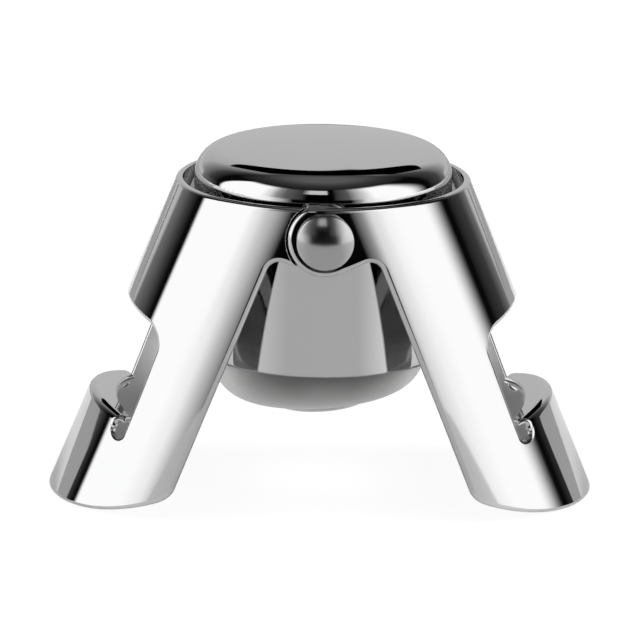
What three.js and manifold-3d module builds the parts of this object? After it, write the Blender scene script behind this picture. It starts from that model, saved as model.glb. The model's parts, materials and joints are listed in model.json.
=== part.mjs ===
// Champagne stopper: a domed shell with a soft seal, and two hinged wings
// whose hooks grip under the ring of the bottle.
// Millimetres, +Z up. The origin is on the table, midway between the two feet.
// X runs across the spread wings, Y runs along the pivot pin.
import * as THREE from 'three';
import { mergeVertices } from 'three/addons/utils/BufferGeometryUtils.js';
import Module from 'manifold-3d';

const wasm = await Module();
wasm.setup();

// Facets
const TURN = 2 * Math.PI;
const WING_STEPS = 60;
const ROUND_STEPS = 48;
const HOLE_STEPS = 24;
const CURVE_STEPS = 6;

// Wings: half tubes of sheet, each opened about the pivot pin
const WING_RADIUS = 22;
const SHEET = 0.9;
const OPEN_ANGLE = THREE.MathUtils.degToRad(22.4);
const WING_LENGTH = 55.9;
const FOOT_ROUNDING = 10.6;
const FOOT_SQUARE_SHARE = 0.64;
const FOOT_NARROWING = 0.45;
const FOOT_CORNER = 1.4;
const EDGE_BEYOND_EAR = 0.75;
const EDGE_OFFSET_FOOT = 5.75;
const SHOULDER_CORNER = 2.2;

// Ears: the outer ear of one wing laps over the inner ear of the other
const OUTER_EAR_RADIUS = 5.5;
const INNER_EAR_SETBACK = 0.5;
const EAR_ABOVE_RIM = 0.65;
const EAR_BELOW_SHOULDER = 0.45;
const EAR_AROUND_HEAD = 1.3;
const EAR_GAP = 0.5;
const JOGGLE_LENGTH = 1.8;
const JOGGLE_STEPS = 4;

// Window and hook in each wing
const WINDOW_TOP = 23.3;
const WINDOW_HALF_WIDTH = 15.8;
const WINDOW_CORNER = 3;
const NOTCH_WIDTH = 2.4;
const NOTCH_DEPTH = 0.7;
const HOOK_BELOW_PIVOT = 38.3;
const HOOK_BEND = 2.3;
const HOOK_HALF_WIDTH = 13.2;
const HOOK_ARC_RADIUS = 28.2;
const HOOK_DEPTH = 4.25;

// Shell: a deep-drawn cup with a domed top, open below, just inside the ears
const SHELL_WALL = 1;
const SHOULDER_ABOVE_PIVOT = 4.45;
const SHOULDER_RADIUS = 4.75;
const CROWN_RADIUS = 120;
const LIP_BELOW_PIVOT = 21.45;

// Core: a moulded plug, a little short of the shell's lip
const CORE_RECESS = 0.6;

// Seal: a soft disc with a boss below and a snap-in stem above
const SEAL_RADIUS = 16;
const SEAL_THICKNESS = 7.2;
const SEAL_ROUNDING = 5.4;
const BOSS_RADIUS = 7.2;
const BOSS_HEIGHT = 1.8;
const BOSS_ROUNDING = 0.5;
const STEM_RADIUS = 4;
const STEM_NECK_LENGTH = 5;
const STEM_HEAD_RADIUS = 4.9;
const STEM_HEAD_LENGTH = 2.4;

// Pivot pin
const PIN_RADIUS = 2.1;
const PIN_HEAD_RIM = 0.4;
const PIN_HEAD_DOME = 1.3;
const PIN_TAIL_RADIUS = 1.5;
const PIN_TAIL_LENGTH = 1.1;

// Clearances
const RUNNING_GAP = 0.25;
const SEAT_GAP = 0.3;
const SHELL_GAP = 0.4;
const OVERRUN = 2;

// Finishes
const chrome = () => new THREE.MeshStandardMaterial({ color: 0xc9ccd0, roughness: 0.08, metalness: 1 });
const silicone = () => new THREE.MeshStandardMaterial({ color: 0xb4b4b2, roughness: 0.7, metalness: 0 });
const moulded = () => new THREE.MeshStandardMaterial({ color: 0x2a2b2d, roughness: 0.6, metalness: 0 });

// Radii and heights that several pieces share
const pinHoleRadius = PIN_RADIUS + RUNNING_GAP;
const shellRadius = WING_RADIUS - SHEET - EAR_GAP - SHEET - SHELL_GAP;
const innerEarRadius = OUTER_EAR_RADIUS - INNER_EAR_SETBACK;
const pinHeadRadius = OUTER_EAR_RADIUS - EAR_AROUND_HEAD;
const rimAbovePivot = OUTER_EAR_RADIUS - EAR_ABOVE_RIM;
const shoulderHeight = EAR_BELOW_SHOULDER - OUTER_EAR_RADIUS;
const edgeOffsetTop = OUTER_EAR_RADIUS + EDGE_BEYOND_EAR;
const footRadius = WING_RADIUS - FOOT_NARROWING;
const hookReach = footRadius - HOOK_DEPTH;
const hookRootBelowPivot = HOOK_BELOW_PIVOT + HOOK_BEND;
const coreBottom = CORE_RECESS - LIP_BELOW_PIVOT;
const sealTop = coreBottom - SEAT_GAP;
const headSeat = WING_RADIUS + SEAT_GAP;
const shankEnd = headSeat - RUNNING_GAP;
const footAngle = Math.acos(EDGE_OFFSET_FOOT / footRadius);

// Turns a closed geometry into a solid that can be joined and cut
function solidOf(geometry) {
  const bare = geometry.clone();
  bare.deleteAttribute('normal');
  bare.deleteAttribute('uv');
  const merged = mergeVertices(bare, 1e-5);
  const mesh = new wasm.Mesh({
    numProp: 3,
    vertProperties: new Float32Array(merged.attributes.position.array),
    triVerts: new Uint32Array(merged.index.array),
  });
  return new wasm.Manifold(mesh);
}

// Turns a solid back into a geometry
function geometryOf(solid) {
  const mesh = solid.getMesh();
  const geometry = new THREE.BufferGeometry();
  const positions = new Float32Array(mesh.vertProperties);
  geometry.setAttribute('position', new THREE.BufferAttribute(positions, 3));
  geometry.setIndex(new THREE.BufferAttribute(new Uint32Array(mesh.triVerts), 1));
  geometry.computeVertexNormals();
  return geometry;
}

// Revolves a closed outline of radius and height about the Z axis
function revolve(outline, steps = ROUND_STEPS) {
  const points = outline.map(([radius, height]) => new THREE.Vector2(radius, height));
  return new THREE.LatheGeometry(points, steps).rotateX(Math.PI / 2);
}

// Points of an arc in an outline of radius and height, its ends included
function arc([centreRadius, centreHeight], radius, from, to, steps = CURVE_STEPS) {
  return Array.from({ length: steps + 1 }, (_, i) => {
    const angle = from + ((to - from) * i) / steps;
    return [centreRadius + radius * Math.cos(angle), centreHeight + radius * Math.sin(angle)];
  });
}

// A round bar along Y, for the pin holes
function barAlongY(radius, length) {
  return new THREE.CylinderGeometry(radius, radius, length, HOLE_STEPS);
}

// Cuts the pin hole right through a geometry
function drillForPin(geometry) {
  const drill = barAlongY(pinHoleRadius, 2 * (WING_RADIUS + OVERRUN));
  return geometryOf(solidOf(geometry).subtract(solidOf(drill)));
}

// Height of the rim in the wing's own frame: level with the table when the wing is open
function rimHeight(x) {
  return (rimAbovePivot - x * Math.sin(OPEN_ANGLE)) / Math.cos(OPEN_ANGLE);
}

// Height of the rounded foot in the wing's own frame, at an angle from its middle
function footHeight(angle) {
  const share = angle / footAngle;
  const rise = FOOT_SQUARE_SHARE * share ** 2 + (1 - FOOT_SQUARE_SHARE) * share ** 4;
  return -WING_LENGTH + FOOT_ROUNDING * rise;
}

// Outer radius of the wing's wall: full above the window, drawn in below it
function wallRadius(height) {
  const run = hookRootBelowPivot - WINDOW_TOP;
  const share = THREE.MathUtils.clamp((-height - WINDOW_TOP) / run, 0, 1);
  return WING_RADIUS - share * FOOT_NARROWING;
}

// How far the sheet steps in towards the inner ear, which lies on the +Y side
function joggle(angle, height) {
  if (angle < 0) return 0;
  const start = OUTER_EAR_RADIUS + SEAT_GAP;
  const x = WING_RADIUS * Math.cos(angle);
  const across = 1 - THREE.MathUtils.smoothstep(x, start, start + JOGGLE_LENGTH);
  const down = 1 - THREE.MathUtils.smoothstep(-height, start, start + JOGGLE_LENGTH);
  return across * down * (SHEET + EAR_GAP);
}

// A curved sheet: stations of outer and inner points, repeated at every angle
function curvedSheet(angles, stationsAt) {
  const positions = [];
  const index = [];
  const rows = stationsAt(angles[0]).length;
  const at = (layer, i, j) => (layer * angles.length + i) * rows + j;
  const quad = (a, b, c, d) => index.push(a, b, c, a, c, d);
  for (const layer of [0, 1]) {
    for (const angle of angles) {
      for (const station of stationsAt(angle)) {
        const [radius, height] = station[layer];
        positions.push(radius * Math.cos(angle), radius * Math.sin(angle), height);
      }
    }
  }
  const lastAngle = angles.length - 1;
  const lastRow = rows - 1;
  for (let i = 0; i < lastAngle; i += 1) {
    for (let j = 0; j < lastRow; j += 1) {
      quad(at(0, i, j), at(0, i + 1, j), at(0, i + 1, j + 1), at(0, i, j + 1));
      quad(at(1, i, j), at(1, i, j + 1), at(1, i + 1, j + 1), at(1, i + 1, j));
    }
    quad(at(0, i, 0), at(1, i, 0), at(1, i + 1, 0), at(0, i + 1, 0));
    quad(at(0, i, lastRow), at(0, i + 1, lastRow), at(1, i + 1, lastRow), at(1, i, lastRow));
  }
  for (let j = 0; j < lastRow; j += 1) {
    quad(at(0, 0, j), at(0, 0, j + 1), at(1, 0, j + 1), at(1, 0, j));
    quad(at(0, lastAngle, j), at(1, lastAngle, j), at(1, lastAngle, j + 1), at(0, lastAngle, j + 1));
  }
  const geometry = new THREE.BufferGeometry();
  geometry.setAttribute('position', new THREE.BufferAttribute(new Float32Array(positions), 3));
  geometry.setIndex(index);
  return geometry;
}

// Angles round a wing, with closer ones where the sheet steps in
function wingAngles() {
  const step = TURN / WING_STEPS;
  const earStart = OUTER_EAR_RADIUS + SEAT_GAP;
  const angles = [];
  for (let i = 0; i <= JOGGLE_STEPS; i += 1) {
    const x = earStart + (JOGGLE_LENGTH * (JOGGLE_STEPS - i)) / JOGGLE_STEPS;
    angles.push(Math.acos(x / WING_RADIUS));
  }
  const [joggleStart, joggleEnd] = [angles[0], angles[JOGGLE_STEPS]];
  const last = Math.ceil(Math.acos(-OUTER_EAR_RADIUS / WING_RADIUS) / step) + 1;
  for (let i = -last; i <= last; i += 1) {
    const angle = i * step;
    const clear = step / 3;
    if (angle < joggleStart - clear || angle > joggleEnd + clear) angles.push(angle);
  }
  return angles.sort((a, b) => a - b);
}

// Heights down a wing, with closer ones where the sheet steps in
function wingHeights() {
  const start = OUTER_EAR_RADIUS + SEAT_GAP;
  const heights = [rimHeight(-OUTER_EAR_RADIUS) + OVERRUN];
  for (let i = 0; i <= JOGGLE_STEPS; i += 1) {
    heights.push(-start - (JOGGLE_LENGTH * i) / JOGGLE_STEPS);
  }
  heights.push(-WINDOW_TOP, -hookRootBelowPivot, -WING_LENGTH - OVERRUN);
  return heights.reverse();
}

// The tube wall that a wing is cut from
function wingBlank() {
  const heights = wingHeights();
  return curvedSheet(wingAngles(), (angle) => heights.map((height) => {
    const radius = wallRadius(height) - joggle(angle, height);
    return [[radius, height], [radius - SHEET, height]];
  }));
}

// Angle in the wing's own frame at which the edge of an ear meets the rim
function rimAngle(earRadius) {
  return Math.PI - Math.asin(rimAbovePivot / earRadius) - OPEN_ANGLE;
}

// The wing's outline seen along the pin: ear, shoulder, long edge, rounded foot and rim
function wingOutline() {
  const shape = new THREE.Shape();
  const outside = WING_RADIUS + OVERRUN;
  const earMeetsShoulder = Math.asin(shoulderHeight / OUTER_EAR_RADIUS);
  const cornerZ = footHeight(footAngle);
  shape.absarc(0, 0, OUTER_EAR_RADIUS, rimAngle(OUTER_EAR_RADIUS), earMeetsShoulder + TURN, false);
  shape.lineTo(edgeOffsetTop - SHOULDER_CORNER, shoulderHeight);
  shape.absarc(
    edgeOffsetTop - SHOULDER_CORNER, shoulderHeight - SHOULDER_CORNER, SHOULDER_CORNER,
    Math.PI / 2, 0, true,
  );
  shape.lineTo(EDGE_OFFSET_FOOT, cornerZ + FOOT_CORNER);
  const cornerAngle = Math.acos((EDGE_OFFSET_FOOT + FOOT_CORNER) / footRadius);
  shape.quadraticCurveTo(
    EDGE_OFFSET_FOOT, cornerZ, EDGE_OFFSET_FOOT + FOOT_CORNER, footHeight(cornerAngle),
  );
  for (let i = 1; i <= CURVE_STEPS; i += 1) {
    const angle = cornerAngle * (1 - i / CURVE_STEPS);
    shape.lineTo(footRadius * Math.cos(angle), footHeight(angle));
  }
  shape.lineTo(outside, footHeight(0));
  shape.lineTo(outside, rimHeight(outside));
  shape.closePath();
  return shape;
}

// What the inner ear, on the +Y side, is smaller by than the outer one
function innerEarTrim() {
  const shape = new THREE.Shape();
  const start = rimAngle(innerEarRadius);
  const startX = innerEarRadius * Math.cos(start);
  const beyond = OUTER_EAR_RADIUS + OVERRUN;
  const cornerX = Math.sqrt(OUTER_EAR_RADIUS ** 2 - shoulderHeight ** 2) + SEAT_GAP;
  shape.moveTo(startX, beyond);
  shape.lineTo(startX, innerEarRadius * Math.sin(start));
  shape.absarc(0, 0, innerEarRadius, start, 1.5 * Math.PI, false);
  shape.lineTo(0, shoulderHeight);
  shape.lineTo(cornerX, shoulderHeight);
  shape.lineTo(cornerX, -beyond);
  shape.lineTo(-beyond, -beyond);
  shape.lineTo(-beyond, beyond);
  shape.closePath();
  return shape;
}

// A shape drawn in X and Z, extruded along Y from one face to the other
function extrudeAlongY(shape, from, to) {
  const options = { depth: to - from, bevelEnabled: false, curveSegments: CURVE_STEPS * 2 };
  return new THREE.ExtrudeGeometry(shape, options).rotateX(Math.PI / 2).translate(0, to, 0);
}

// The window with its two relief notches, drawn in Y and Z
function windowShape() {
  const shape = new THREE.Shape();
  const side = WINDOW_HALF_WIDTH;
  const root = -hookRootBelowPivot;
  const notchInner = side - NOTCH_WIDTH;
  const notchRadius = NOTCH_WIDTH / 2;
  const notchCentre = root - NOTCH_DEPTH + notchRadius;
  shape.moveTo(-notchInner, root);
  shape.lineTo(notchInner, root);
  shape.absarc(notchInner + notchRadius, notchCentre, notchRadius, Math.PI, TURN, false);
  shape.lineTo(side, -WINDOW_TOP - WINDOW_CORNER);
  shape.absarc(
    side - WINDOW_CORNER, -WINDOW_TOP - WINDOW_CORNER, WINDOW_CORNER, 0, Math.PI / 2, false,
  );
  shape.lineTo(-side + WINDOW_CORNER, -WINDOW_TOP);
  shape.absarc(
    -side + WINDOW_CORNER, -WINDOW_TOP - WINDOW_CORNER, WINDOW_CORNER,
    Math.PI / 2, Math.PI, false,
  );
  shape.lineTo(-side, notchCentre);
  shape.absarc(-notchInner - notchRadius, notchCentre, notchRadius, Math.PI, TURN, false);
  shape.closePath();
  return shape;
}

// The window's cutter, which passes through the wall along X
function windowCutter() {
  const options = { depth: WING_RADIUS + OVERRUN, bevelEnabled: false, curveSegments: CURVE_STEPS };
  const cutter = new THREE.ExtrudeGeometry(windowShape(), options);
  return cutter.rotateX(Math.PI / 2).rotateZ(Math.PI / 2);
}

// The hook: the wall's tongue, bent inwards to a shelf with an arc for the bottle's neck
function hookSolid() {
  const step = TURN / WING_STEPS;
  const reach = Math.ceil(Math.PI / 2 / step) - 2;
  const angles = Array.from({ length: 2 * reach + 1 }, (_, i) => (i - reach) * step);
  const centre = [footRadius - HOOK_BEND, -hookRootBelowPivot];
  const outer = arc(centre, HOOK_BEND, 0, Math.PI / 2);
  const inner = arc(centre, HOOK_BEND - SHEET, 0, Math.PI / 2);
  const tip = hookReach - HOOK_ARC_RADIUS + Math.sqrt(HOOK_ARC_RADIUS ** 2 - HOOK_HALF_WIDTH ** 2);
  const stations = outer.map((point, i) => [point, inner[i]]);
  stations.push([[tip - OVERRUN, -HOOK_BELOW_PIVOT], [tip - OVERRUN, -HOOK_BELOW_PIVOT - SHEET]]);
  const tongue = curvedSheet(angles, () => stations);
  return solidOf(tongue).intersect(solidOf(hookTrim()));
}

// What is left of the shelf in plan: straight ends and the arc that meets the neck
function hookTrim() {
  const shape = new THREE.Shape();
  const centre = hookReach - HOOK_ARC_RADIUS;
  const halfAngle = Math.asin(HOOK_HALF_WIDTH / HOOK_ARC_RADIUS);
  const outside = WING_RADIUS + OVERRUN;
  shape.moveTo(outside, -HOOK_HALF_WIDTH);
  shape.lineTo(outside, HOOK_HALF_WIDTH);
  shape.absarc(centre, 0, HOOK_ARC_RADIUS, halfAngle, -halfAngle, true);
  shape.closePath();
  const options = { depth: HOOK_BEND + 2 * OVERRUN, bevelEnabled: false, curveSegments: CURVE_STEPS * 2 };
  return new THREE.ExtrudeGeometry(shape, options).translate(0, 0, -hookRootBelowPivot - OVERRUN);
}

// One wing in its own frame: pivot at the origin, +X outwards, outer ear at -Y
function wingGeometry() {
  const beyond = WING_RADIUS + OVERRUN;
  const sheet = solidOf(wingBlank()).intersect(solidOf(extrudeAlongY(wingOutline(), -beyond, beyond)));
  const trimmed = sheet.subtract(solidOf(extrudeAlongY(innerEarTrim(), 0, beyond)));
  const wall = trimmed.subtract(solidOf(windowCutter()));
  const drill = solidOf(barAlongY(pinHoleRadius, 2 * beyond));
  return geometryOf(wall.add(hookSolid()).subtract(drill));
}

// The shell's outline on one skin, inset from the outside: crown, shoulder and wall
function shellSkin(inset) {
  const run = shellRadius - SHOULDER_RADIUS;
  const shoulder = [run, SHOULDER_ABOVE_PIVOT];
  const crownCentre = crownCentreHeight();
  const joint = Math.atan2(shoulder[1] - crownCentre, run);
  const crown = arc([0, crownCentre], CROWN_RADIUS - inset, Math.PI / 2, joint, CURVE_STEPS / 2);
  const rounding = arc(shoulder, SHOULDER_RADIUS - inset, joint, 0);
  return [[0, crown[0][1]], ...crown.slice(1), ...rounding.slice(1)];
}

// Height of the centre of the crown's shallow sphere
function crownCentreHeight() {
  const run = shellRadius - SHOULDER_RADIUS;
  return SHOULDER_ABOVE_PIVOT - Math.sqrt((CROWN_RADIUS - SHOULDER_RADIUS) ** 2 - run ** 2);
}

function shellGeometry() {
  const lip = arc(
    [shellRadius - SHELL_WALL / 2, SHELL_WALL / 2 - LIP_BELOW_PIVOT], SHELL_WALL / 2,
    0, -Math.PI, CURVE_STEPS / 2,
  );
  const outline = [...shellSkin(0), ...lip, ...shellSkin(SHELL_WALL).reverse()];
  return drillForPin(revolve(outline.reverse()));
}

// The moulded core fills the shell, carries the pin and takes the seal's stem
function coreGeometry() {
  const inset = SHELL_WALL + RUNNING_GAP;
  const neck = STEM_RADIUS + RUNNING_GAP;
  const chamber = STEM_HEAD_RADIUS + RUNNING_GAP;
  const chamberFloor = sealTop + STEM_NECK_LENGTH - SEAT_GAP;
  const chamberTop = sealTop + STEM_NECK_LENGTH + STEM_HEAD_LENGTH + SEAT_GAP;
  const outline = [
    ...shellSkin(inset), [shellRadius - inset, coreBottom], [neck, coreBottom],
    [neck, chamberFloor], [chamber, chamberFloor], [chamber, chamberTop], [0, chamberTop],
  ];
  return drillForPin(revolve(outline.reverse()));
}

function sealGeometry() {
  const bottom = sealTop - SEAL_THICKNESS;
  const bossBottom = bottom - BOSS_HEIGHT;
  const headBottom = sealTop + STEM_NECK_LENGTH;
  const headTop = headBottom + STEM_HEAD_LENGTH;
  const edge = arc([SEAL_RADIUS - SEAL_ROUNDING, bottom + SEAL_ROUNDING], SEAL_ROUNDING, 0, -Math.PI / 2);
  const bossCentre = [BOSS_RADIUS - BOSS_ROUNDING, bossBottom + BOSS_ROUNDING];
  const boss = arc(bossCentre, BOSS_ROUNDING, 0, -Math.PI / 2, CURVE_STEPS / 2);
  const outline = [
    [0, headTop], [STEM_RADIUS, headTop], [STEM_HEAD_RADIUS, headBottom], [STEM_RADIUS, headBottom],
    [STEM_RADIUS, sealTop], [SEAL_RADIUS, sealTop], ...edge, [BOSS_RADIUS, bottom], ...boss, [0, bossBottom],
  ];
  return revolve(outline.reverse());
}

// A domed head whose flat side lies at a height, for the pin and its end cap
function domedHead(seat) {
  const sphere = (pinHeadRadius ** 2 + PIN_HEAD_DOME ** 2) / (2 * PIN_HEAD_DOME);
  const centre = seat + PIN_HEAD_RIM + PIN_HEAD_DOME - sphere;
  const rim = Math.asin((seat + PIN_HEAD_RIM - centre) / sphere);
  const dome = arc([0, centre], sphere, Math.PI / 2, rim);
  return [[0, seat + PIN_HEAD_RIM + PIN_HEAD_DOME], ...dome.slice(1), [pinHeadRadius, seat]];
}

// The pin: domed head in front, shank through every piece, thin tail behind
function pinGeometry() {
  const outline = [
    ...domedHead(headSeat), [PIN_RADIUS, headSeat], [PIN_RADIUS, -shankEnd],
    [PIN_TAIL_RADIUS, -shankEnd], [PIN_TAIL_RADIUS, -shankEnd - PIN_TAIL_LENGTH],
    [0, -shankEnd - PIN_TAIL_LENGTH],
  ];
  return revolve(outline.reverse(), HOLE_STEPS * 2).rotateX(Math.PI / 2);
}

// The domed end cap that is pressed on to the pin's tail
function endCapGeometry() {
  const bore = PIN_TAIL_RADIUS + RUNNING_GAP;
  const depth = shankEnd + PIN_TAIL_LENGTH + SEAT_GAP;
  const outline = [...domedHead(headSeat), [bore, headSeat], [bore, depth], [0, depth]];
  return revolve(outline.reverse(), HOLE_STEPS * 2).rotateX(-Math.PI / 2);
}

function named(name, geometry, material) {
  const mesh = new THREE.Mesh(geometry, material);
  mesh.name = name;
  return mesh;
}

// Lowest point of a wing below the pin when it is open
function pivotHeight() {
  let lowest = 0;
  for (let i = 0; i <= WING_STEPS; i += 1) {
    const angle = (footAngle * i) / WING_STEPS;
    const reach = footRadius * Math.cos(angle) * Math.sin(OPEN_ANGLE);
    lowest = Math.min(lowest, reach + footHeight(angle) * Math.cos(OPEN_ANGLE));
  }
  return -lowest;
}

const stopper = new THREE.Group();
stopper.position.z = pivotHeight();
stopper.add(
  named('body_shell', shellGeometry(), chrome()),
  named('inner_core', coreGeometry(), moulded()),
  named('sealing_disc', sealGeometry(), silicone()),
  named('pivot_pin', pinGeometry(), chrome()),
  named('pin_end_cap', endCapGeometry(), chrome()),
);

// The wings are one pressing, used twice: the left one is turned half round
const wing = wingGeometry();
for (const [name, turn] of [['right_wing', 0], ['left_wing', Math.PI]]) {
  const side = new THREE.Group();
  side.rotation.z = turn;
  const mesh = named(name, wing, chrome());
  mesh.rotation.y = -OPEN_ANGLE;
  side.add(mesh);
  stopper.add(side);
}

const model = new THREE.Group();
model.add(stopper);

export default model;
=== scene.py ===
# %% [markdown]
# # A chrome champagne stopper
#
# The stopper is a deep-drawn cup with a soft seal under it, and two pressed wings that swing on one
# pin. It is nearly all mirror-polished metal, so two things decide how real it looks: how evenly its
# surfaces curve, and what there is around it to be mirrored. This lesson builds the pieces from
# bmesh operators, gives them their finishes, and then builds the photographer's studio.
#
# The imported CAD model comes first. It says where every piece is, and the pieces made here replace
# its faceted ones.

# %% Load the frame
import json
import math
import bmesh
import bpy
from mathutils import Matrix, Vector


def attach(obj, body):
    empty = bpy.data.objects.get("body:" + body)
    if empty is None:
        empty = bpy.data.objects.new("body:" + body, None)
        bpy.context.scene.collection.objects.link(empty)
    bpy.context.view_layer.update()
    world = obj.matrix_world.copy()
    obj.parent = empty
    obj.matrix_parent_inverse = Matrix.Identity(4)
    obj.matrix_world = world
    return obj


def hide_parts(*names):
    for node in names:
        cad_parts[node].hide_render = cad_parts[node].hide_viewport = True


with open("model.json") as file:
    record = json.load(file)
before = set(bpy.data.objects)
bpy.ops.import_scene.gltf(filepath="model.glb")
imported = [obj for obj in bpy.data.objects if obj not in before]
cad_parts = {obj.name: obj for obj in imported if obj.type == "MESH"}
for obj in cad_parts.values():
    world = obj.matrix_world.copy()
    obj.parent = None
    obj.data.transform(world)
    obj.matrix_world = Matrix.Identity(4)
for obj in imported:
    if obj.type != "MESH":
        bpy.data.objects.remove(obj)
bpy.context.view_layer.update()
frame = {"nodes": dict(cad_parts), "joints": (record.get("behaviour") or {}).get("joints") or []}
pivot = Vector(frame["joints"][0]["pos_m"])
MM = 0.001
print("pivot height in mm:", round(pivot.z / MM, 3))

# %% [markdown]
# ## The camera
#
# The camera was fitted to the photograph: it stands 0.8 m away, looks down by nearly 15 degrees and
# is turned by one. The picture is square, so the focal length follows from how many pixels a
# millimetre at the pin takes up.

# %% Camera
PICTURE_PIXELS = 640
CAMERA_DISTANCE = 800 * MM
CAMERA_AZIMUTH = -0.018
CAMERA_ELEVATION = 0.259
CAMERA_ROLL = 0.012
PIXELS_PER_MM = 6.638
AIM = pivot + Vector((-0.244, 0, -17.64)) * MM


def aim_camera(camera_object):
    """Stands the camera back from the aim point, level but for the small roll."""
    back = Vector((
        math.sin(CAMERA_AZIMUTH) * math.cos(CAMERA_ELEVATION),
        -math.cos(CAMERA_AZIMUTH) * math.cos(CAMERA_ELEVATION),
        math.sin(CAMERA_ELEVATION),
    ))
    right = Vector((0, 0, 1)).cross(back).normalized()
    up = back.cross(right)
    turned_right = right * math.cos(CAMERA_ROLL) + up * math.sin(CAMERA_ROLL)
    turned_up = up * math.cos(CAMERA_ROLL) - right * math.sin(CAMERA_ROLL)
    turn = Matrix((turned_right, turned_up, back)).transposed().to_4x4()
    camera_object.matrix_world = Matrix.Translation(AIM + back * CAMERA_DISTANCE) @ turn


lens = bpy.data.cameras.new("camera")
lens.sensor_width = 36
lens.lens = lens.sensor_width * PIXELS_PER_MM * (CAMERA_DISTANCE / MM) / PICTURE_PIXELS
lens.clip_start = 0.01
lens.clip_end = 20
camera = bpy.data.objects.new("camera", lens)
bpy.context.scene.collection.objects.link(camera)
aim_camera(camera)
bpy.context.scene.camera = camera
print("focal length in mm:", round(lens.lens, 2))

# %% [markdown]
# ## Materials from expressions
#
# A node tree is easier to read as arithmetic. `Wire` wraps an output socket, so that `1 - mask` or
# `grain * 0.02 + 0.04` adds the Math nodes by itself. `Tree.add` makes every other node: it sets the
# node's own settings first, because they can change its sockets, and then fills the sockets.

# %% Wires and trees
class Wire:
    """An output socket that takes part in arithmetic."""

    def __init__(self, tree, socket):
        self.tree = tree
        self.socket = socket

    def __add__(self, other):
        return self.tree.combine("ADD", self, other)

    def __radd__(self, other):
        return self.tree.combine("ADD", other, self)

    def __sub__(self, other):
        return self.tree.combine("SUBTRACT", self, other)

    def __rsub__(self, other):
        return self.tree.combine("SUBTRACT", other, self)

    def __mul__(self, other):
        return self.tree.combine("MULTIPLY", self, other)

    def __rmul__(self, other):
        return self.tree.combine("MULTIPLY", other, self)

    def __truediv__(self, other):
        return self.tree.combine("DIVIDE", self, other)

    def __rtruediv__(self, other):
        return self.tree.combine("DIVIDE", other, self)

    def __pow__(self, other):
        return self.tree.combine("POWER", self, other)

    def __rpow__(self, other):
        return self.tree.combine("POWER", other, self)


class Tree:
    """A node tree to which nodes are added with their settings and inputs."""

    def __init__(self, node_tree):
        self.node_tree = node_tree
        node_tree.nodes.clear()

    def add(self, kind, settings=None, inputs=None, output=0):
        node = self.node_tree.nodes.new(kind)
        for key, value in (settings or {}).items():
            if key == "stops":
                set_stops(node.color_ramp, value)
            else:
                setattr(node, key, value)
        for key, value in (inputs or {}).items():
            if isinstance(value, Wire):
                self.node_tree.links.new(value.socket, node.inputs[key])
            else:
                node.inputs[key].default_value = value
        return Wire(self, node.outputs[output]) if node.outputs else node

    def combine(self, operation, *values):
        """A Math node that works on numbers or wires."""
        return self.add("ShaderNodeMath", {"operation": operation}, dict(enumerate(values)))


def set_stops(ramp, stops):
    """Gives a colour ramp its stops, each a position and a grey level."""
    while len(ramp.elements) < len(stops):
        ramp.elements.new(1)
    for element, (position, level) in zip(ramp.elements, stops):
        element.position = position
        element.color = grey(level)


def grey(level):
    """A grey colour, from 0 to 1."""
    return (level, level, level, 1)


def new_material(name):
    """A material with an empty tree."""
    material = bpy.data.materials.new(name)
    material.use_nodes = True
    return material, Tree(material.node_tree)


# %% [markdown]
# A few nodes come back in every tree. The Mix node has its colours at places 6 and 7, behind those
# for numbers, and its colour result at place 2, so they are named once here.

# %% Noise, tints and soft edges
FIRST_COLOUR = 6
SECOND_COLOUR = 7
COLOUR_RESULT = 2


def noise(tree, place, scale, detail):
    """A cloudy pattern from 0 to 1, with so many waves to the metre."""
    return tree.add("ShaderNodeTexNoise", {}, {"Vector": place, "Scale": scale, "Detail": detail})


def tinted(tree, mask, low, high):
    """One colour where the mask is zero, and another where it is one."""
    return tree.add("ShaderNodeMix", {"data_type": "RGBA"}, {
        "Factor": mask, FIRST_COLOUR: low, SECOND_COLOUR: high}, output=COLOUR_RESULT)


def eased(tree, value, start, end):
    """Zero before start, one after end, and a soft edge between them."""
    return tree.add("ShaderNodeMapRange", {"interpolation_type": "SMOOTHSTEP"}, {
        "Value": value, "From Min": start, "From Max": end})


def surfaced(tree, colour, metallic, roughness, bump):
    """The Principled shader that every piece ends in."""
    surface = tree.add("ShaderNodeBsdfPrincipled", {}, {
        "Base Color": colour, "Metallic": metallic, "Roughness": roughness, "Normal": bump})
    tree.add("ShaderNodeOutputMaterial", {}, {"Surface": surface})


# %% [markdown]
# ## The finishes
#
# Chrome plate is a mirror, but a handled one. Its roughness drifts a little from place to place, and
# a very shallow long-waved bump stands for the pressing under the plate. One tree makes three
# grades of it. The pin is duller and darker than the pressings. Higher up, every grade has painted
# shade in its colour: slightly on the outer chrome, and strongly on the inner skin of the wings above
# the windows, where it stands for the shade in the gap between shell and wing, which otherwise looks
# too bright. The change is soft and follows the height in Object coordinates, which stay with the
# wing when it swings.

# %% Polished chrome
PAINTED_SHADE_FROM = 19 * MM
PAINTED_SHADE_TO = 27 * MM


def chrome_finish(name, share, painted_shade_share, roughness):
    """Chrome that gives back one share of the light low down, and a smaller one higher up, which is
    painted shade.
    """
    material, tree = new_material(name)
    place = tree.add("ShaderNodeTexCoord", output="Object")
    haze = noise(tree, place, 90, 3)
    grain = noise(tree, place, 2600, 2)
    swell = noise(tree, place, 130, 1)
    hazy = (0.97 * share, 0.973 * share, 0.976 * share, 1)
    height = tree.add("ShaderNodeSeparateXYZ", {}, {0: place}, output="Z")
    # Painted shade: above these heights the colour darkens to the shaded share.
    deep = eased(tree, height, PAINTED_SHADE_FROM, PAINTED_SHADE_TO)
    colour = tinted(tree, deep, tinted(tree, haze, hazy, grey(share)), grey(painted_shade_share))
    bump = tree.add("ShaderNodeBump", {}, {
        "Height": swell * 0.7 + grain * 0.05, "Strength": 0.12, "Distance": 0.04 * MM})
    surfaced(tree, colour, 1.0, haze * 0.03 + roughness, bump)
    return material


# The third number is painted shade: the darker share higher up, strong on the inner skin of the wings.
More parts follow.
